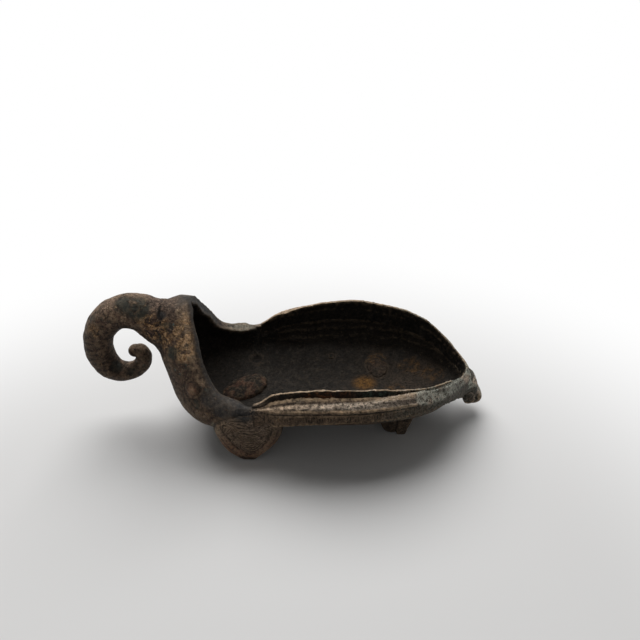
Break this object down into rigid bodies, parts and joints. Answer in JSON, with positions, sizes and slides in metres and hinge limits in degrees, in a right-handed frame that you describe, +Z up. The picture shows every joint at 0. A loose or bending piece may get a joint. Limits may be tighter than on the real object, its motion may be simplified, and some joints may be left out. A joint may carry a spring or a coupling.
{
  "type": "bronze yi water vessel",
  "caption": "Boat-shaped cast bronze pouring vessel with a rising trough, curled handle, ledged rim with frieze, and flap and stub feet.",
  "frame": {"origin": "on the ground under the middle of the vessel's length and width, at the level of the feet", "axes": "+X towards the narrow pouring end with the volute, +Y to the vessel's left, +Z up"},
  "size_m": [0.22, 0.102, 0.0824],
  "materials": {
    "bowl_bronze": "cast bronze with a dull dark brown patina",
    "rim_bronze": "cast bronze, worn to a lighter brown on its edges",
    "lip_bronze": "cast bronze with a dark patina",
    "handle_bronze": "cast bronze with a pitted brown patina",
    "foot_bronze": "cast bronze with a reddish brown patina",
    "patch_bronze": "rough cast-on bronze",
    "trim_bronze": "cast bronze with a greenish patina"
  },
  "bodies": {
    "root": {"bowl_body": "bowl_bronze", "rim_band": "rim_bronze", "inner_lip": "lip_bronze", "scroll_handle": "handle_bronze", "tip_curl": "rim_bronze", "foot_rear_left": "foot_bronze", "foot_rear_right": "foot_bronze", "foot_front_left": "foot_bronze", "foot_front_right": "foot_bronze", "front_lock_left": "patch_bronze", "front_lock_right": "patch_bronze", "floor_patch": "patch_bronze", "eye_boss_left": "trim_bronze", "eye_boss_right": "trim_bronze", "core_spacer": "trim_bronze"}
  },
  "joints": []
}
